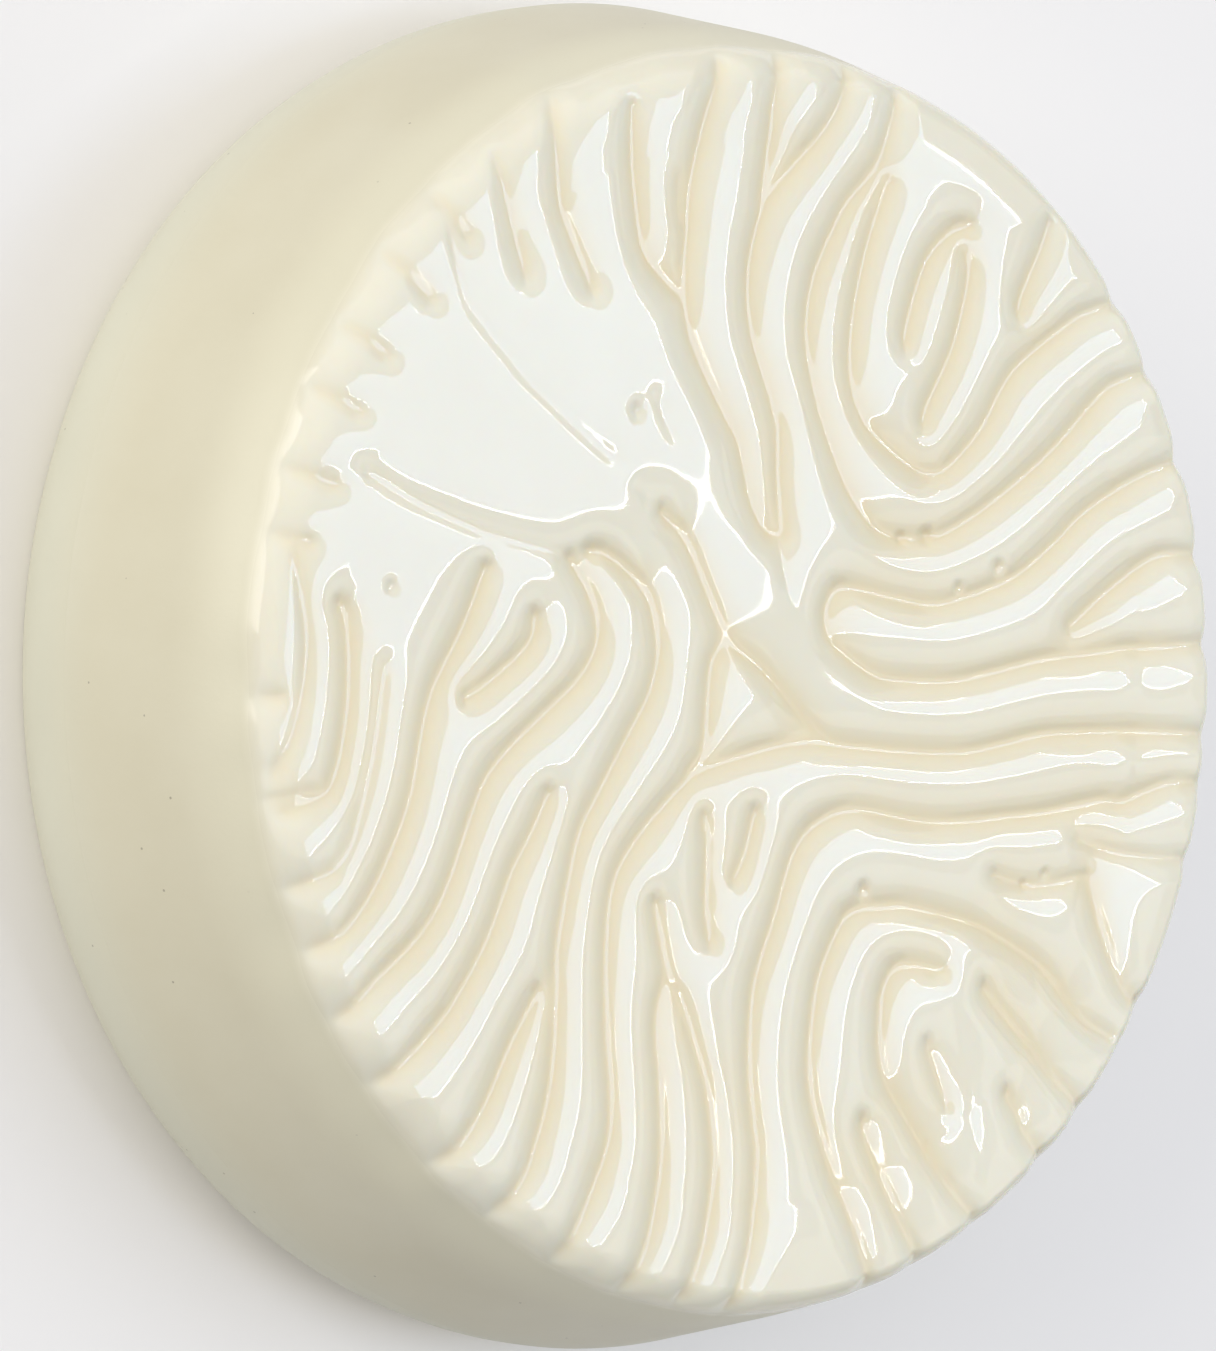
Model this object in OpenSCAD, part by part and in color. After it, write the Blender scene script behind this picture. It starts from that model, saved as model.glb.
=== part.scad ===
// Shaving soap puck: a round cake of hard soap that stands on its flat back.
// It is cast in three layers. The wide base layer has a rounded back edge, the
// soap body tapers towards the face, and the relief cap carries the furrowed face.
// Origin: centre of the resting face. +Z: the puck's axis, out through the face.

/* [Puck] */
// Widest diameter, across the land above the rounded back edge
puck_d = 70; // [60:1:90]
// Overall height, from the resting face to the tops of the ridges
puck_h = 18; // [16:0.5:26]

/* [Base layer] */
// Height of the base layer, up to its pour line
base_h = 6; // [5.5:0.5:8]
// Diameter of the flat resting face
foot_d = 66.4; // [50:0.2:68]
// Height at which the rounded back edge meets the land
edge_h = 4.8; // [3:0.1:5]

/* [Relief cap] */
// Height of the relief cap, from its pour line to the tops of the ridges
cap_h = 1.8; // [1.8:0.1:3]
// Diameter of the wall where the draft ends, at the cap's pour line
brow_d = 65.6; // [52:0.2:68]
// Radius of the rounded shoulder between the wall and the face
shoulder_r = 1.6; // [0.8:0.1:1.8]

/* [Hidden] */
$fn = 180;

puck_r = puck_d / 2;
foot_r = foot_d / 2;
brow_r = brow_d / 2;
body_top = puck_h - cap_h;
face_r = brow_r - shoulder_r;
// The back edge is one arc: it meets the land at a tangent and passes through the rim of
// the resting face.
edge_in = puck_r - foot_r;
edge_r = (edge_in * edge_in + edge_h * edge_h) / (2 * edge_in);

// The base layer's half section: the arc of the back edge, then the upright land.
module base_section() {
    square([puck_r - edge_r, edge_h]);
    intersection() {
        square([puck_r, edge_h]);
        translate([puck_r - edge_r, edge_h]) circle(r = edge_r);
    }
    translate([0, edge_h]) square([puck_r, base_h - edge_h]);
}

// The cap's half section: a short upright edge, then the rounded shoulder and the face.
module cap_section() {
    square([brow_r, cap_h - shoulder_r]);
    square([face_r, cap_h]);
    intersection() {
        square([brow_r, cap_h]);
        translate([face_r, cap_h - shoulder_r]) circle(r = shoulder_r);
    }
}

// First pour: the wide, faintly green layer that the puck stands on.
module base_layer() {
    color([0.86, 0.86, 0.76]) rotate_extrude() base_section();
}

// Second pour: the thick layer, with the mould's draft on its wall.
module soap_body() {
    color([0.86, 0.83, 0.72])
        translate([0, 0, base_h])
            cylinder(h = body_top - base_h, r1 = puck_r, r2 = brow_r);
}

// Third pour: the thin glossy layer that carries the face.
module relief_cap() {
    color([0.93, 0.91, 0.83])
        translate([0, 0, body_top])
            rotate_extrude() cap_section();
}

base_layer();
soap_body();
relief_cap();
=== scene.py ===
import math

import bpy
import numpy as np
from mathutils import Matrix, Vector


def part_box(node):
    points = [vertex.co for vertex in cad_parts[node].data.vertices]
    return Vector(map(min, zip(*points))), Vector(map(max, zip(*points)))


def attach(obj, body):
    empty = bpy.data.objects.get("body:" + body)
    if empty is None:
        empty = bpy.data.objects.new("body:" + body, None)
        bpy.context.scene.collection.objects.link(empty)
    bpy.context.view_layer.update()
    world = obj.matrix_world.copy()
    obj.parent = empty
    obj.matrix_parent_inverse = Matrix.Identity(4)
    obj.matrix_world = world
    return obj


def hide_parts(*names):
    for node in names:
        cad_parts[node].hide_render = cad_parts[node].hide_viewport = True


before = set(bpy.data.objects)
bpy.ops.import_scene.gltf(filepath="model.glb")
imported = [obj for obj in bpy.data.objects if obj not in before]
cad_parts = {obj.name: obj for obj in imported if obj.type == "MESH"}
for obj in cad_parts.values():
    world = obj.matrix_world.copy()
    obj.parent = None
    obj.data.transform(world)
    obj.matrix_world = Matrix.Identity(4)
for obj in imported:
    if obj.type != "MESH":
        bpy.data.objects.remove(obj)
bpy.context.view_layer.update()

# ---------------------------------------------------------------------------
# A shaving soap puck that lies on its flat back: base layer, soap body and a
# relief cap whose face is pressed with rounded ridges between narrow furrows.
# Lengths in this script are in millimetres; MM turns them into metres.
# ---------------------------------------------------------------------------
MM = 0.001


def span(node):
    """Lowest height, highest height and outer radius of a CAD node, in mm."""
    low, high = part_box(node)
    return low.z / MM, high.z / MM, high.x / MM


_, BASE_TOP, PUCK_R = span("base_layer")
_, BODY_TOP, _ = span("soap_body")
_, FACE_Z, BROW_R = span("relief_cap")

# The wall: a rounded back edge, an upright land, then the draft up to the brow.
FOOT_R = PUCK_R - 1.8
EDGE_H = 4.8
DRAFT = math.atan2(PUCK_R - BROW_R, BODY_TOP - BASE_TOP)

# The rounded shoulder: its height and width. One side of the puck is worn, with a wider shoulder:
# how much wider, as a share, and the middle direction of that side in degrees.
SHOULDER_DROP = 1.6
SHOULDER_WIDE = 1.15
WORN_WIDER = 0.95
WORN_AT = 168
# The crown lowers the face towards the rim: the radius where it starts, how fast it bends on the
# worn side and on the far side, and how far inside the brow it stops.
CROWN_START = 28.4
CROWN_BEND = 0.075
FAR_BEND = 0.02
CROWN_STOP = 0.07
# On the worn side the wall leans in below the brow, from LEAN_FROM up, and bends by LEAN_BEND.
# The brow there is lumpy: by BROW_LUMP at most, in full from LUMPS_FULL_AT up.
LEAN_FROM = 13.2
LEAN_BEND = 0.13
LUMPS_FULL_AT = FACE_Z - 0.9
BROW_LUMP = 0.13

# The relief: ridge height above an endless furrow, and how far a furrow reaches.
RELIEF_H = 0.5
RELIEF_REACH = 1.05
# Round the wide flat patch the furrows have shorter banks: its place, radius and their reach.
FLAT_PATCH = (-14.5, 12.0, 8.5)
PATCH_REACH = 0.5
# Half width of the soft-edged line along which a furrow holds the membrane down.
FURROW_HALF = 0.10
# How much of the lost height the ridges win back towards the rim, from which radius, over how much.
RIM_LIFT = 0.14
RIM_LIFT_FROM = 27
RIM_LIFT_OVER = 4
# The relief starts this far above the pour line and reaches its full depth over this height.
FADE_FROM = 0.1
FADE_OVER = 1.3

# Mesh fineness: size of the relief's grid cells, squares across the cap, and steps round the wall.
CELL = 0.1
FACE_CELLS = 480
ROUND = 360
# Shares of the cap's rings: up to the end of the flat face, and up to the end of the shoulder.
FLAT_SHARE = 0.8
EDGE_SHARE = 0.985

# The furrows, as lines across the face: name, depth from 0 to 1, and points from the centre.
FURROWS = [
    ("left_1", 1, [
        (-17.9, 5.3), (-19.3, 2.4), (-21.1, -0.4), (-21.8, -2.4), (-22.7, -6.2), (-24.5, -9.8),
        (-26, -11.7), (-27.6, -12.9), (-30.4, -14)]),
    ("left_2", 1, [
        (-12.6, 5.8), (-11.6, 4.6), (-10.9, 3.3), (-10.7, 1.9), (-11.2, 0.7), (-12.3, -0.5),
        (-13.9, -1.7), (-17.2, -4.3), (-18.5, -6.2), (-20.3, -10.3), (-21.6, -12.2), (-23, -13.5),
        (-24.8, -14.8), (-26.8, -16.6), (-28.5, -17.4)]),
    ("left_3", 1, [
        (-13.9, -5.8), (-15, -7.8), (-16.2, -9.6), (-17.7, -12.8), (-19.6, -15.6), (-21, -17.1),
        (-24.2, -19.7), (-26.2, -20.8)]),
    ("left_3_branch", 1, [
        (-14.6, -15.6), (-16.3, -18.1), (-17.8, -20.8), (-19.7, -23.2), (-21.3, -24.3)]),
    ("left_4", 1, [
        (-11.4, 6.2), (-10, 6), (-7.6, 4.2), (-6.8, 1.8), (-6.9, 0.3), (-7.5, -1.2), (-8.6, -2.8),
        (-10.7, -5.9), (-11.7, -7.4), (-12.3, -9), (-13.1, -12.2), (-13.4, -14), (-13.4, -16),
        (-13.8, -20.3), (-15, -23.8), (-16, -25.4), (-17.4, -27)]),
    ("heart_start", 0.25, [
        (-8.4, 9.5), (-7.5, 8.9), (-6.6, 8.2)]),
    ("heart", 1, [
        (-6.6, 8.2), (-5, 6.9), (-3.5, 4.2), (-2.4, 2.2)]),
    ("heart_line", 0.35, [
        (1.4, 6.8), (1.5, 5.6), (1.8, 4.6)]),
    ("heart_line_end", 0.14, [
        (1.8, 4.6), (2.2, 3.4), (2.7, 2.4)]),
    ("heart_left", 1, [
        (-2.4, 2.2), (-2.8, 1.3), (-3.3, 0.4), (-3.6, -2.6), (-3.8, -3.8), (-4.8, -4.9)]),
    ("heart_right", 1, [
        (-2.4, 2.2), (-1.6, 1.5), (0.4, 0.2), (3.4, -2.5), (4.6, -3.3)]),
    ("long_right_1", 1, [
        (-13.6, -30.2), (-12, -27.2), (-10.3, -24), (-9.9, -22.4), (-9.9, -20.4), (-10.1, -18.4),
        (-10.2, -14), (-9.7, -10.4), (-8, -8), (-5, -5.4), (-3.3, -4.6), (0.6, -3.7), (3, -3.4),
        (6, -3.6), (10, -3.9), (14, -4), (17, -3.6), (20, -3.1), (24, -3), (28, -3), (32, -3.2)]),
    ("long_right_2", 1, [
        (-1.8, -32.4), (-0.6, -28.4), (-0.2, -24.5), (-0.5, -22), (-0.7, -19.6), (-0.4, -15.8),
        (0.9, -12.6), (2.1, -9.5), (2.9, -8.3), (4, -7.5), (5.4, -7), (7.2, -6.9), (11, -7.5),
        (14, -7.6), (17, -7.4), (20, -7.2), (24.2, -6.6), (25.8, -6.7), (29, -5.8), (31.4, -5.8)]),
    ("bottom_1", 1, [
        (-7, -11.4), (-6.3, -14.4), (-5.9, -15.4), (-5.2, -16.4), (-4.1, -19.2), (-3.5, -21),
        (-3.1, -24.4), (-3.6, -27.9), (-5, -31.6)]),
    ("bottom_1_branch", 1, [
        (-6.3, -15.2), (-6.8, -16.6), (-6.9, -18.2), (-6.7, -20), (-6.6, -24.3), (-7.4, -28),
        (-8.8, -31)]),
    ("inset_1", 1, [
        (-3.7, -7.1), (-3.5, -8.4), (-3.6, -11.8), (-3.3, -13.4)]),
    ("inset_2", 1, [
        (-0.3, -6.9), (-1, -9.1), (-1.7, -10.3)]),
    ("bottom_2", 1, [
        (7.6, -31.4), (6.3, -28.1), (4.9, -25.4), (3.8, -22.6), (3.4, -20.8), (3.4, -19),
        (4, -15.6), (5.6, -12.7), (6.8, -12), (8.5, -11.9), (10.2, -11.9), (14, -12.7),
        (16, -13.4), (19.8, -15.4), (22.6, -18.1), (25, -19.3)]),
    ("bottom_3", 1, [
        (12.6, -15.3), (11, -15), (9.5, -15), (8.7, -15.8), (8.3, -17.2), (8.4, -20.2),
        (10.1, -22.8), (13.1, -26.6), (15, -28.3)]),
    ("bottom_2_branch", 1, [
        (7.1, -22.9), (7.4, -24.1), (9.4, -27.8), (11, -30.3)]),
    ("bottom_4", 1, [
        (15.6, -16.3), (16.8, -17.5), (19.4, -19.9), (20.4, -21), (22.6, -22.8)]),
    ("bottom_5", 1, [
        (17.2, -21.9), (18, -23), (18.6, -24.2), (20, -25.4)]),
    ("bottom_6", 0.15, [
        (13.1, -17.2), (13.8, -19.5), (14.4, -21.5), (14.5, -23.5), (15.1, -26)]),
    ("bottom_short", 0.8, [
        (11.5, -19), (12, -20.2), (13, -22.4)]),
    ("corner", 1, [
        (23.2, -10.6), (24.2, -13.6), (25.8, -16.8), (27, -17.4)]),
    ("corner_in", 0.8, [
        (16.2, -10.4), (18, -10.9), (20, -11), (23.2, -10.6)]),
    ("corner_up", 0.8, [
        (22.2, -8.7), (26, -9.5), (30.8, -9.9)]),
    ("right_loop", 1, [
        (31.2, 11.8), (27.3, 10.7), (24, 9.2), (22.3, 8.2), (20.8, 7), (17.7, 5.1), (14, 4),
        (12, 3.7), (10, 3.9), (6.4, 4.5), (5.2, 4.4), (4.6, 3.6), (4.5, 2.6), (5, 1.7), (7.5, 0.2),
        (9.2, -0.2), (13, -0.3), (15.4, 0), (18, 0.5), (20.4, 0.9), (23, 1.1), (25.4, 1.4),
        (28, 1.5), (32.3, 1.7)]),
    ("right_1", 1, [
        (32, 6.4), (29.4, 6.5), (27.8, 6.2), (25.2, 4.8), (21.8, 2.6)]),
    ("top_long", 1, [
        (9.6, 30), (8.4, 26.9), (7.4, 25.6), (6.2, 24.5), (5.2, 23.1), (3.7, 20.3), (3.2, 17.4),
        (3.8, 14.5), (4.9, 11.8), (6.3, 9.3), (8.4, 7.4), (11.7, 7.1), (14.5, 8.1), (18, 10.1),
        (21, 12.2), (24, 14.8), (25.4, 15.6), (28, 16.2)]),
    ("eye_left", 1, [
        (8.9, 25.5), (7.4, 22), (6.4, 18.2), (6.3, 15.2), (7.3, 13), (9.6, 11.3), (11.2, 10.5)]),
    ("eye_right", 1, [
        (11.2, 10.5), (12.4, 10.5), (13.5, 11.1), (15.5, 12.9), (17.7, 15.9), (21.5, 18.4),
        (22.8, 19.1), (25.5, 19.8)]),
    ("eye_slot_1", 1, [
        (14.6, 23.5), (13.3, 23.1), (11.5, 21.4), (10.2, 18.2), (10, 17.2)]),
    ("eye_slot_2", 1, [
        (14.4, 22), (14.6, 20.8), (13.5, 17.2), (11.6, 14), (11.3, 13.1)]),
    ("eye_slot_3", 1, [
        (20.3, 23.8), (19.8, 22.6), (18.5, 20.2), (18.1, 19.1)]),
    ("top_3", 1, [
        (6.3, 31.4), (5.7, 29.8), (4.9, 28.5), (3.7, 27.2), (1.2, 24.9), (0.2, 23.6), (-0.7, 20.6),
        (-0.5, 17.3), (1.1, 13.2), (1.3, 10), (1.6, 7.1)]),
    ("top_3_branch", 1, [
        (0.1, 24.1), (0.7, 27.3), (0.9, 28.9), (1.7, 32)]),
    ("top_2", 1, [
        (1.6, 7.1), (0.4, 7.4), (-0.5, 8.7), (-1, 10.4), (-1.4, 11.9), (-2.4, 13.3), (-4.6, 17),
        (-5, 20), (-4.8, 22.4), (-4.6, 24.6), (-3.7, 28), (-3.1, 29.4), (-2.5, 31.2)]),
    ("top_2_branch", 1, [
        (-5, 18.8), (-7.4, 20.8), (-8, 22.2), (-8.5, 26), (-8.5, 28.6)]),
    ("top_2_short", 0.6, [
        (-5.4, 22.7), (-5.5, 24), (-5.4, 25.2)]),
    ("fan_1", 0.9, [
        (-13.3, 29), (-13.5, 27), (-13.2, 23.5), (-12.6, 22), (-11.1, 19.2)]),
    ("fan_2", 0.8, [
        (-17.3, 25.6), (-16.4, 22.6), (-15.4, 19.6)]),
    ("fan_3", 0.32, [
        (-20.5, 22.4), (-19.6, 19.4), (-18.9, 18), (-16.5, 15.6), (-14.9, 14.2), (-11.2, 11.6),
        (-9.5, 10.6)]),
    ("fan_4", 0.22, [
        (-7.1, 14), (-6.5, 12.8), (-5.7, 11.7)]),
    ("left_arm", 0.45, [
        (-25.6, 10), (-22.5, 8.5), (-19.3, 7.4), (-17.6, 6.9), (-14, 6.2), (-12.6, 5.8)]),
    ("edge_1", 0.9, [
        (-29.8, 6), (-29.1, 2.5), (-29.1, 0.5), (-29.5, -1.6), (-30.1, -3.3), (-31, -4.8)]),
    ("edge_2", 1, [
        (-27, 3.5), (-26.5, 2.4), (-26.5, -1.5), (-27.4, -5.1), (-28.6, -6), (-30.4, -6.6)]),
    ("edge_3", 0.6, [
        (-24.3, 0.6), (-24.9, -3.5), (-26, -7.2), (-26.9, -8.8), (-28.6, -9.9), (-30.3, -10.6)]),
    ("left_slot", 1, [
        (-14.8, 3), (-15.1, 1.6), (-17.8, -0.4), (-19.2, -1.1)]),
]

# Short grooves over the rolled-off rim: direction in degrees, first and last radius.
RIM_GROOVES = [
    (131.5, 28.6, 33), (139.3, 28.1, 33), (147.3, 28.6, 33), (153.8, 28.7, 33), (161.5, 28.7, 33),
    (167.5, 29.4, 33), (182, 30.6, 33), (191, 29.2, 33), (199, 28.9, 33),
]
RIM_GROOVE_DEPTH = 0.85

# Small burst bubbles in the face: place, radius and depth.
PITS = [
    (-8.4, 13.2, 0.42, 0.22), (-24.0, 4.3, 0.34, 0.18), (11.6, 7.3, 0.36, 0.2),
    (9.8, 7.1, 0.3, 0.16), (16.6, 5.7, 0.36, 0.18), (13.8, 4.6, 0.26, 0.14),
    (7.0, -11.0, 0.4, 0.2), (18.5, -11.0, 0.24, 0.12), (20.0, -10.4, 0.24, 0.12),
]

# Low swellings near the rim: place, radius and height.
SWELLINGS = [
    (25.4, 2.9, 1.3, 0.06), (25.8, -0.4, 1.1, 0.05), (25.6, -4.7, 1.4, 0.06),
    (22.0, -9.3, 1.2, 0.06), (26.3, -8.6, 1.2, 0.05),
]


# ---------------------------------------------------------------------------
# Relief
# ---------------------------------------------------------------------------
def spline(points, step):
    """Smooth curve through given points, sampled about every step mm."""
    p = np.array(points, float)
    p = np.vstack([2 * p[0] - p[1], p, 2 * p[-1] - p[-2]])
    out = []
    for a, b, c, d in zip(p[:-3], p[1:-2], p[2:-1], p[3:]):
        count = max(2, int(np.linalg.norm(c - b) / step))
        t = np.linspace(0, 1, count, endpoint=False)[:, None]
        out.append(0.5 * (2 * b + (c - a) * t + (2 * a - 5 * b + 4 * c - d) * t**2
                          + (3 * b - a - 3 * c + d) * t**3))
    return np.vstack(out + [p[-2:-1]])


class HeightField:
    """The face as heights on a square grid, solved like a membrane held down along the furrows."""

    def __init__(self, half_width):
        self.count = int(2 * half_width / CELL) + 1
        self.half = (self.count - 1) * CELL / 2
        self.hold = np.zeros((self.count, self.count))
        self.height = np.zeros_like(self.hold)

    def press(self, points, depth):
        """Adds the downward hold of one furrow; a shallow furrow holds far less."""
        line = spline(points, CELL / 2)
        strength = 2.9 * depth / (1.03 - depth) / (FURROW_HALF * math.sqrt(2 * math.pi))
        reach = int(3.5 * FURROW_HALF / CELL) + 1
        at = (line + self.half) / CELL
        col = np.round(at[:, 0]).astype(int)
        row = np.round(at[:, 1]).astype(int)
        for i in range(-reach, reach + 1):
            for j in range(-reach, reach + 1):
                away = np.hypot(col + i - at[:, 0], row + j - at[:, 1]) * CELL
                pull = strength * np.exp(-0.5 * (away / FURROW_HALF) ** 2)
                inside = (col + i >= 0) & (col + i < self.count) & (row + j >= 0) & (row + j < self.count)
                np.maximum.at(self.hold, (row[inside] + j, col[inside] + i), pull[inside])

    def relax(self, rounds):
        """Solves lap(h) - h / reach^2 - hold * h = -height / reach^2 by repeated averaging."""
        near = 1 / CELL**2
        axis = np.linspace(-self.half, self.half, self.count)
        x, y, radius = FLAT_PATCH
        patch = np.exp(-(np.hypot(axis[None, :] - x, axis[:, None] - y) / radius) ** 4)
        sink = 1 / (RELIEF_REACH + (PATCH_REACH - RELIEF_REACH) * patch) ** 2
        below = 4 * near + sink + self.hold
        h = np.full_like(self.hold, RELIEF_H * 0.6)
        for _ in range(rounds):
            edge = np.pad(h, 1, mode="edge")
            around = edge[:-2, 1:-1] + edge[2:, 1:-1] + edge[1:-1, :-2] + edge[1:-1, 2:]
            h = (around * near + RELIEF_H * sink) / below
        self.height = h

    def dimple(self, x, y, radius, depth):
        """Sinks one small round hollow; a negative depth raises a swelling."""
        axis = np.linspace(-self.half, self.half, self.count)
        away = np.hypot(axis[None, :] - x, axis[:, None] - y)
        self.height -= depth * np.exp(-((away / radius) ** 2))

    def soften(self, sigma):
        """Rounds the field by a Gaussian of the given size in mm."""
        reach = int(3 * sigma / CELL) + 1
        taps = np.exp(-0.5 * (np.arange(-reach, reach + 1) * CELL / sigma) ** 2)
        taps /= taps.sum()
        for axis in (0, 1):
            self.height = np.apply_along_axis(
                lambda line: np.convolve(np.pad(line, reach, mode="edge"), taps, "valid"), axis, self.height)

    def at(self, x, y):
        """Height at places on the face, by bilinear interpolation."""
        u = np.clip((x + self.half) / CELL, 0, self.count - 1.001)
        v = np.clip((y + self.half) / CELL, 0, self.count - 1.001)
        i, j = u.astype(int), v.astype(int)
        fu, fv = u - i, v - j
        h = self.height
        low = h[j, i] * (1 - fu) + h[j, i + 1] * fu
        high = h[j + 1, i] * (1 - fu) + h[j + 1, i + 1] * fu
        return low * (1 - fv) + high * fv


def make_relief():
    """The whole relief: furrows and rim grooves pressed in, relaxed, rounded, then pits and swellings."""
    field = HeightField(BROW_R + 0.6)
    for _, depth, points in FURROWS:
        field.press(points, depth)
    for degrees, near, far in RIM_GROOVES:
        way = np.array([math.cos(math.radians(degrees)), math.sin(math.radians(degrees))])
        field.press([way * near, way * (near + far) / 2, way * far], RIM_GROOVE_DEPTH)
    field.relax(700)
    field.soften(0.12)
    for pit in PITS:
        field.dimple(*pit)
    for x, y, radius, height in SWELLINGS:
        field.dimple(x, y, radius, -height)
    return field


# ---------------------------------------------------------------------------
# Meshes
# ---------------------------------------------------------------------------
def wall_wave(angle, z):
    """Slight unevenness of the cast wall in mm, always inward."""
    slow = np.sin(3 * angle + 0.7) + 0.7 * np.sin(5 * angle + 2.1 + 0.08 * z)
    fine = 0.4 * np.sin(11 * angle + 0.31 * z) + 0.3 * np.sin(17 * angle - 0.23 * z + 1.3)
    return 0.02 * (slow + fine - 2.4)


def worn(angle):
    """1 along the side where the shoulder is worn wide, 0 where it is crisp."""
    side = np.clip(0.5 + 0.95 * np.cos(angle - math.radians(WORN_AT)), 0, 1)
    return side * side * (3 - 2 * side)


def lumps(angle, z):
    """Soft unevenness of the worn brow in mm, always inward, dying out down the wall."""
    wave = np.sin(19 * angle + 0.4) + 0.8 * np.sin(31 * angle + 2.0) + 0.5 * np.sin(47 * angle + 1.1)
    highest = 2.3
    share = np.clip((z - LEAN_FROM) / (LUMPS_FULL_AT - LEAN_FROM), 0, 1)
    return BROW_LUMP * (wave - highest) / highest * worn(angle) * share * share * (3 - 2 * share)


def lean(angle, z):
    """How far the worn side of the wall leans in at a height, in mm."""
    return 0.5 * LEAN_BEND * np.clip(z - LEAN_FROM, 0, None) ** 2 * worn(angle)


def mesh_object(name, points, faces, node, sharp=35):
    """Makes a closed smooth mesh from points in mm; it stands for a CAD node on the root body."""
    mesh = bpy.data.meshes.new(name)
    mesh.from_pydata((np.asarray(points) * MM).tolist(), [], faces)
    mesh.validate()
    mesh.shade_smooth()
    mesh.set_sharp_from_angle(angle=math.radians(sharp))
    thing = bpy.data.objects.new(name, mesh)
    bpy.context.scene.collection.objects.link(thing)
    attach(thing, "root")
    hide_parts(node)
    return thing


def lathe(section):
    """Points and faces of a closed turned solid, from a section that starts and ends on the axis.

    Rings out on the wall carry its unevenness, its worn brow and its lean.
    """
    rim = section[1:-1]
    angle = np.arange(ROUND) * 2 * math.pi / ROUND
    points = [(0, 0, section[0][1])]
    for radius, z in rim:
        r = np.full(ROUND, radius)
        if radius > BROW_R - 0.01:
            r = radius + (wall_wave(angle, z) + lumps(angle, z) - lean(angle, z))
        points += list(zip(r * np.cos(angle), r * np.sin(angle), np.full(ROUND, z)))
    points.append((0, 0, section[-1][1]))
    faces = []
    for k in range(ROUND):
        n = (k + 1) % ROUND
        faces.append((0, 1 + n, 1 + k))
        for ring in range(len(rim) - 1):
            a = 1 + ring * ROUND
            faces.append((a + k, a + n, a + ROUND + n, a + ROUND + k))
        a = 1 + (len(rim) - 1) * ROUND
        faces.append((a + k, a + n, len(points) - 1))
    return points, faces


def base_section():
    """Back edge as one arc from the foot to the land, then the land up to the pour line."""
    edge_in = PUCK_R - FOOT_R
    radius = (edge_in**2 + EDGE_H**2) / (2 * edge_in)
    steps = 12
    section = [(0, 0), (FOOT_R * 0.5, 0)]
    for k in range(steps + 1):
        z = EDGE_H * k / steps
        section.append((PUCK_R - radius + math.sqrt(radius**2 - (EDGE_H - z) ** 2), z))
    section += [(PUCK_R, EDGE_H + 0.5), (PUCK_R, BASE_TOP - 0.3), (PUCK_R - 0.01, BASE_TOP)]
    return section + [(PUCK_R * 0.5, BASE_TOP), (0, BASE_TOP)]


def body_section():
    """The drafted wall between the two pour lines."""
    steps = 24
    section = [(0, BASE_TOP), (PUCK_R * 0.5, BASE_TOP)]
    for k in range(steps + 1):
        z = BASE_TOP + (BODY_TOP - BASE_TOP) * k / steps
        section.append((PUCK_R - (z - BASE_TOP) * math.tan(DRAFT), z))
    return section + [(BROW_R * 0.5, BODY_TOP), (0, BODY_TOP)]


def envelope(reach, angle):
    """The cap's outer surface before the relief: radius, height and tilt of the surface.

    reach runs from 0 on the axis to 1 at the pour line: the face, then a quarter ellipse
    over the shoulder, then a short straight stretch that carries on the draft.
    """
    brow = BROW_R - lean(angle, BODY_TOP)
    tan_wall = math.tan(DRAFT) + LEAN_BEND * (BODY_TOP - LEAN_FROM) * worn(angle)
    wide = SHOULDER_WIDE * (1 + WORN_WIDER * worn(angle))
    bend = FAR_BEND + (CROWN_BEND - FAR_BEND) * worn(angle)
    near_brow = brow - CROWN_STOP - CROWN_START
    drop = SHOULDER_DROP - 0.5 * bend * near_brow**2
    last = np.arctan(wide * (1 / tan_wall - bend * near_brow) / drop)
    z_last = FACE_Z - SHOULDER_DROP + drop * np.cos(last)
    r_last = brow - (z_last - BODY_TOP) * tan_wall
    r_flat = r_last - wide * np.sin(last)
    turn = last * np.clip((reach - FLAT_SHARE) / (EDGE_SHARE - FLAT_SHARE), 0, 1)
    down = np.clip((reach - EDGE_SHARE) / (1 - EDGE_SHARE), 0, 1)
    r = r_flat * np.clip(reach / FLAT_SHARE, 0, 1) + wide * np.sin(turn)
    past = np.clip(np.minimum(r, brow - CROWN_STOP) - CROWN_START, 0, None)
    z = FACE_Z - 0.5 * bend * past**2 - drop * (1 - np.cos(turn))
    slope = bend * past + drop * np.sin(turn) / (wide * np.cos(turn))
    r = r + (brow - r_last) * down
    z = z + (BODY_TOP - z) * down
    return r, z, np.arctan(slope)


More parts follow.
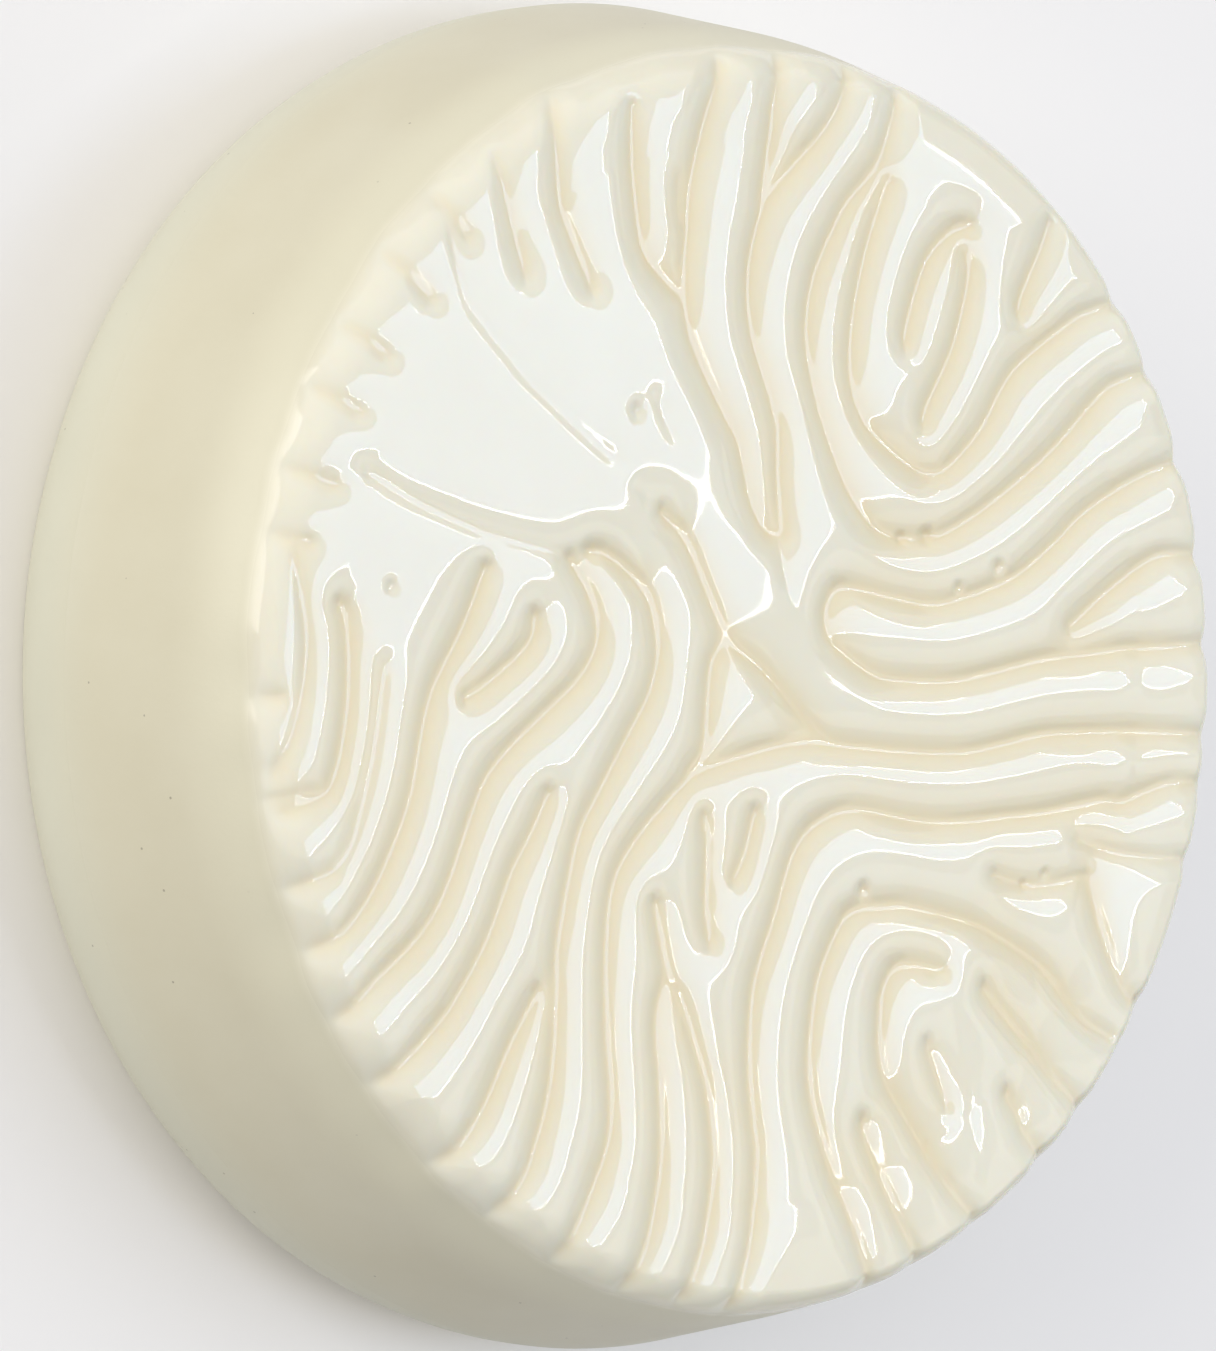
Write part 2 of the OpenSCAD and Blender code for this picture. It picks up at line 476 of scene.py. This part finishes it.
def cap_mesh(relief):
    """A disc grid of squares laid over the face and down to the pour line, pressed with the relief.

    level is 1 on the ridge tops and lower down in the furrows, one value for each point; the cap's material
    paints shade into the furrows from it.
    """
    cells = FACE_CELLS
    side = np.linspace(-1, 1, cells + 1)
    u, v = np.meshgrid(side, side)
    reach = np.maximum(np.abs(u), np.abs(v))
    wide = np.abs(u) >= np.abs(v)
    with np.errstate(divide="ignore", invalid="ignore"):
        angle = np.where(wide, np.pi / 4 * v / u, np.pi / 2 - np.pi / 4 * u / v)
    angle = np.where(reach == 0, 0, angle)
    angle = np.where(np.where(wide, u, v) < 0, angle + np.pi, angle)
    r, z, tilt = envelope(reach, angle)
    height = relief.at(r * np.cos(angle), r * np.sin(angle))
    fade = np.clip((z - BODY_TOP - FADE_FROM) / FADE_OVER, 0, 1)
    fade = fade * fade * (3 - 2 * fade)
    lift = RIM_LIFT * np.clip((r - RIM_LIFT_FROM) / RIM_LIFT_OVER, 0, 1)
    sunk = np.clip(relief.height.max() - height - lift, 0, None) * fade
    # The wall's unevenness and the brow's lumps carry on over the shoulder and die out on the face.
    wave = wall_wave(angle, z) * np.clip((tilt - 0.3) / 0.8, 0, 1)
    wave = wave + lumps(angle, z) * np.clip((r - 29.0) / 2.0, 0, 1)
    r = r - sunk * np.sin(tilt) + wave
    z = z - sunk * np.cos(tilt)
    points = np.stack([r * np.cos(angle), r * np.sin(angle), z], -1).reshape(-1, 3)
    k = np.arange((cells + 1) ** 2).reshape(cells + 1, cells + 1)
    quads = np.stack([k[:-1, :-1], k[:-1, 1:], k[1:, 1:], k[1:, :-1]], -1).reshape(-1, 4)
    rim = np.concatenate([k[0, :-1], k[:-1, -1], k[-1, :0:-1], k[:0:-1, 0]])
    under = np.stack([rim, np.full_like(rim, len(points)), np.roll(rim, -1)], -1)
    points = np.vstack([points, [0, 0, BODY_TOP]])
    level = np.append(1 - sunk.ravel() / relief.height.max(), 1)
    return points, quads.tolist() + under.tolist(), level


# ---------------------------------------------------------------------------
# Materials
# ---------------------------------------------------------------------------
# About nine pale clouds across the puck.
MOTTLE_SCALE = 9.0 / 0.07
BASE_CREAM = (0.745, 0.735, 0.595)
MID_CREAM = (0.735, 0.693, 0.525)
# The brow's colour: the soap's cream lifted by a painted highlight, paler than the wall below it.
BROW_CREAM_AND_HIGHLIGHT = (0.80, 0.76, 0.58)
# Roughness of the satin wall where it meets the cap, and of the glossy face.
SATIN = 0.42
GLOSS = 0.035


def soap(name, pale, deep, roughness):
    """Cast soap: two close creams mottled together."""
    mat = bpy.data.materials.new(name)
    mat.use_nodes = True
    nodes, links = mat.node_tree.nodes, mat.node_tree.links
    shader = nodes["Principled BSDF"]
    shader.inputs["Roughness"].default_value = roughness
    shader.inputs["IOR"].default_value = 1.47
    place = nodes.new("ShaderNodeTexCoord")
    cloud = nodes.new("ShaderNodeTexNoise")
    cloud.inputs["Scale"].default_value = MOTTLE_SCALE
    cloud.inputs["Detail"].default_value = 4
    links.new(place.outputs["Object"], cloud.inputs["Vector"])
    ramp = nodes.new("ShaderNodeValToRGB")
    ramp.color_ramp.elements[0].position = 0.3
    ramp.color_ramp.elements[0].color = (*deep, 1)
    ramp.color_ramp.elements[1].position = 0.72
    ramp.color_ramp.elements[1].color = (*pale, 1)
    links.new(cloud.outputs["Fac"], ramp.inputs["Fac"])
    links.new(ramp.outputs["Color"], shader.inputs["Base Color"])
    return mat, nodes, links, shader, ramp, place


def add_specks(nodes, links, shader, ramp, place, colour):
    """Scatters tiny dark specks, such as dust caught in the satin wall."""
    cells = nodes.new("ShaderNodeTexVoronoi")
    cells.inputs["Scale"].default_value = 1300
    links.new(place.outputs["Object"], cells.inputs["Vector"])
    small = nodes.new("ShaderNodeMath")
    small.operation = "LESS_THAN"
    small.inputs[1].default_value = 0.09
    links.new(cells.outputs["Distance"], small.inputs[0])
    pick = nodes.new("ShaderNodeSeparateColor")
    links.new(cells.outputs["Color"], pick.inputs["Color"])
    few = nodes.new("ShaderNodeMath")
    few.operation = "GREATER_THAN"
    few.inputs[1].default_value = 0.93
    links.new(pick.outputs["Red"], few.inputs[0])
    both = nodes.new("ShaderNodeMath")
    both.operation = "MULTIPLY"
    links.new(small.outputs[0], both.inputs[0])
    links.new(few.outputs[0], both.inputs[1])
    mix = nodes.new("ShaderNodeMix")
    mix.data_type = "RGBA"
    mix.inputs["B"].default_value = (*colour, 1)
    links.new(both.outputs[0], mix.inputs["Factor"])
    links.new(ramp.outputs["Color"], mix.inputs["A"])
    links.new(mix.outputs["Result"], shader.inputs["Base Color"])


def add_grain(nodes, links, shader, place, scale, strength, distance):
    """Very shallow surface grain as bump."""
    grain = nodes.new("ShaderNodeTexNoise")
    grain.inputs["Scale"].default_value = scale
    grain.inputs["Detail"].default_value = 3
    links.new(place.outputs["Object"], grain.inputs["Vector"])
    bump = nodes.new("ShaderNodeBump")
    bump.inputs["Strength"].default_value = strength
    bump.inputs["Distance"].default_value = distance
    links.new(grain.outputs["Fac"], bump.inputs["Height"])
    links.new(bump.outputs["Normal"], shader.inputs["Normal"])


def height_share(nodes, links, place, low, high):
    """0 below one height, 1 above another, both in mm, with a smooth change between them."""
    axes = nodes.new("ShaderNodeSeparateXYZ")
    links.new(place.outputs["Object"], axes.inputs["Vector"])
    share = nodes.new("ShaderNodeMapRange")
    share.interpolation_type = "SMOOTHSTEP"
    share.inputs["From Min"].default_value = low * MM
    share.inputs["From Max"].default_value = high * MM
    links.new(axes.outputs["Z"], share.inputs["Value"])
    return share


def blend_by_height(nodes, links, shader, place, low, high, colour, above):
    """Blends the base colour into another one over a band of heights, above it or below it."""
    share = height_share(nodes, links, place, low, high)
    mix = nodes.new("ShaderNodeMix")
    mix.data_type = "RGBA"
    kept, other = ("A", "B") if above else ("B", "A")
    mix.inputs[other].default_value = (*colour, 1)
    links.new(share.outputs["Result"], mix.inputs["Factor"])
    links.new(shader.inputs["Base Color"].links[0].from_socket, mix.inputs[kept])
    links.new(mix.outputs["Result"], shader.inputs["Base Color"])


def base_soap():
    """The pale base layer, which turns slowly towards the body's colour as it rises."""
    mat, nodes, links, shader, ramp, place = soap(
        "base_soap", (0.76, 0.75, 0.61), (0.73, 0.72, 0.58), 0.45)
    add_specks(nodes, links, shader, ramp, place, (0.42, 0.40, 0.30))
    blend_by_height(nodes, links, shader, place, EDGE_H - 1.5, BASE_TOP + 2.5, MID_CREAM, True)
    add_grain(nodes, links, shader, place, 2600, 0.25, 0.00004)
    return mat


def body_soap():
    """The satin wall."""
    mat, nodes, links, shader, ramp, place = soap(
        "body_soap", (0.755, 0.715, 0.55), (0.715, 0.67, 0.50), SATIN)
    add_specks(nodes, links, shader, ramp, place, (0.45, 0.41, 0.30))
    # The wall starts as pale as the base, and towards the brow it turns as pale as the face: partly the
    # soap's cream, partly a painted highlight along the brow.
    blend_by_height(nodes, links, shader, place, EDGE_H - 1.5, BASE_TOP + 2.5, BASE_CREAM, False)
    blend_by_height(nodes, links, shader, place, 12.5, BODY_TOP, BROW_CREAM_AND_HIGHLIGHT, True)
    add_grain(nodes, links, shader, place, 2600, 0.25, 0.00004)
    return mat


def cap_soap():
    """The glossy face: pale on the ridges, with painted shade and warm bounce light that make it more yellow
    down in the furrows.
    """
    mat, nodes, links, shader, ramp, place = soap(
        "cap_soap", (0.91, 0.87, 0.71), (0.89, 0.84, 0.67), GLOSS)
    # Painted shade and bounce light: the lower a place lies in a furrow, the more it is tinted a darker
    # yellow.
    level = nodes.new("ShaderNodeAttribute")
    level.attribute_name = "level"
    deep = nodes.new("ShaderNodeMapRange")
    deep.inputs["From Min"].default_value = 0.0
    deep.inputs["From Max"].default_value = 0.72
    deep.inputs["To Min"].default_value = 0.85
    deep.inputs["To Max"].default_value = 0.0
    links.new(level.outputs["Fac"], deep.inputs["Value"])
    mix = nodes.new("ShaderNodeMix")
    mix.data_type = "RGBA"
    mix.inputs["B"].default_value = (0.90, 0.77, 0.50, 1)
    links.new(deep.outputs["Result"], mix.inputs["Factor"])
    links.new(ramp.outputs["Color"], mix.inputs["A"])
    # The gloss fades out over the shoulder, where the satin wall starts, and the colour turns to the brow's
    # cream with its painted highlight.
    share = height_share(nodes, links, place, BODY_TOP, BODY_TOP + 1.0)
    edge = nodes.new("ShaderNodeMix")
    edge.data_type = "RGBA"
    edge.inputs["A"].default_value = (*BROW_CREAM_AND_HIGHLIGHT, 1)
    links.new(share.outputs["Result"], edge.inputs["Factor"])
    links.new(mix.outputs["Result"], edge.inputs["B"])
    links.new(edge.outputs["Result"], shader.inputs["Base Color"])
    # Light passes a little into the glossy soap, away from the pour line.
    shader.inputs["Subsurface Radius"].default_value = (1.0, 0.75, 0.42)
    shader.inputs["Subsurface Scale"].default_value = 0.0008
    inside = height_share(nodes, links, place, BODY_TOP + 0.4, BODY_TOP + 1.5)
    inside.inputs["To Max"].default_value = 0.4
    links.new(inside.outputs["Result"], shader.inputs["Subsurface Weight"])
    gloss = nodes.new("ShaderNodeMapRange")
    gloss.inputs["To Min"].default_value = SATIN
    gloss.inputs["To Max"].default_value = GLOSS
    links.new(share.outputs["Result"], gloss.inputs["Value"])
    links.new(gloss.outputs["Result"], shader.inputs["Roughness"])
    add_grain(nodes, links, shader, place, 420, 0.08, 0.00005)
    return mat


# ---------------------------------------------------------------------------
# Stage: floor, lights and camera
# ---------------------------------------------------------------------------
def floor():
    """A plain pale floor just under the puck."""
    mesh = bpy.data.meshes.new("floor")
    w = 1.5
    mesh.from_pydata([(-w, -w, 0), (w, -w, 0), (w, w, 0), (-w, w, 0)], [], [(0, 1, 2, 3)])
    plane = bpy.data.objects.new("floor", mesh)
    plane.location.z = -0.0001
    bpy.context.scene.collection.objects.link(plane)
    mat = bpy.data.materials.new("floor")
    mat.use_nodes = True
    shader = mat.node_tree.nodes["Principled BSDF"]
    shader.inputs["Base Color"].default_value = (0.86, 0.83, 0.79, 1)
    shader.inputs["Roughness"].default_value = 0.9
    shader.inputs["Emission Color"].default_value = (1, 1, 1, 1)
    shader.inputs["Emission Strength"].default_value = 0.10
    mesh.materials.append(mat)


def softbox(name, centre, target, width, depth, radiance, colour=(1, 1, 1)):
    """A rectangular area light with the given brightness per unit area, facing its target."""
    light = bpy.data.lights.new(name, "AREA")
    light.shape = "RECTANGLE"
    light.size, light.size_y = width, depth
    light.energy = radiance * math.pi * width * depth
    light.color = colour
    lamp = bpy.data.objects.new(name, light)
    lamp.location = centre
    aim = Vector(target) - Vector(centre)
    lamp.rotation_euler = aim.to_track_quat("-Z", "Y").to_euler()
    bpy.context.scene.collection.objects.link(lamp)
    return lamp


def key_light(corner, turn, length, depth):
    """The large overhead softbox with a brighter rim and a weaker warm one beside it, 1 m up.

    It is laid out from the corner nearest +X.
    """
    turn = math.radians(turn)
    along = Vector((-math.cos(turn), -math.sin(turn), 0))
    across = Vector((-math.sin(turn), math.cos(turn), 0))
    start = Vector((*corner, 1.0))
    rim = 0.008

    def panel(name, first, last, near, far, radiance, colour):
        """One flat panel between two distances along and two distances across."""
        centre = start + along * (first + last) / 2 + across * (near + far) / 2
        lamp = softbox(name, centre, centre - Vector((0, 0, 1)), last - first, far - near, radiance, colour)
        lamp.rotation_euler = (0, 0, turn)

    panel("key", 0, length, 0, depth, 2.68, (0.71, 0.97, 1.48))
    panel("warm_side", -0.6, length, -0.75, -0.12, 1.0, (1.0, 0.94, 0.80))
    panel("key_end", -rim, 0, 0, depth, 24.0, (1, 1, 1))
    panel("key_edge", 0, length, -rim, 0, 24.0, (1, 1, 1))
    panel("key_near", length, length + rim, 0, depth, 18.0, (1, 1, 1))


def lights():
    """A faint even sky and soft boxes all round."""
    world = bpy.data.worlds.new("studio")
    world.use_nodes = True
    sky = world.node_tree.nodes["Background"]
    sky.inputs["Color"].default_value = (0.95, 0.97, 1.0, 1)
    sky.inputs["Strength"].default_value = 0.08
    bpy.context.scene.world = world
    softbox("tent", (0, 0.65, 1.25), (0, 0.65, 0), 3.0, 2.3, 0.94, (0.985, 0.985, 1.02))
    key_light(corner=(1.055, 0.12), turn=30, length=0.88, depth=0.27)
    softbox("side_fill", (-1.2, 0.5, 0.45), (0, 0, 0.01), 0.9, 0.9, 3.7, (1.0, 0.97, 0.91))
    softbox("far_fill", (1.4, 0.0, 0.4), (0, 0, 0.01), 0.9, 0.6, 0.5, (0.85, 1.0, 0.97))


def camera():
    """Looks at the puck from the -X side, with +Y up in the picture."""
    tilt = math.radians(40.18)
    distance = 0.35
    aim_height = 0.0057
    data = bpy.data.cameras.new("camera")
    data.lens = 179
    data.sensor_width = 36
    cam = bpy.data.objects.new("camera", data)
    right = Vector((math.cos(tilt), 0, math.sin(tilt)))
    back = Vector((-math.sin(tilt), 0, math.cos(tilt)))
    place = Vector((0, 0, aim_height)) + back * distance
    cam.matrix_world = Matrix.Translation(place) @ Matrix((right, (0, 1, 0), back)).transposed().to_4x4()
    data.clip_start, data.clip_end = 0.01, 10
    bpy.context.scene.collection.objects.link(cam)
    bpy.context.scene.camera = cam


def build():
    """Makes the three pieces, each in place of its CAD node."""
    relief = make_relief()
    points, faces = lathe(base_section())
    base = mesh_object("base_layer_soap", points, faces, "base_layer")
    base.data.materials.append(base_soap())
    points, faces = lathe(body_section())
    body = mesh_object("soap_body_soap", points, faces, "soap_body")
    body.data.materials.append(body_soap())
    points, faces, level = cap_mesh(relief)
    cap = mesh_object("relief_cap_soap", points, faces, "relief_cap", sharp=75)
    cap.data.attributes.new("level", "FLOAT", "POINT").data.foreach_set("value", level)
    cap.data.materials.append(cap_soap())


build()
floor()
lights()
camera()
bpy.context.scene.view_settings.view_transform = "Standard"
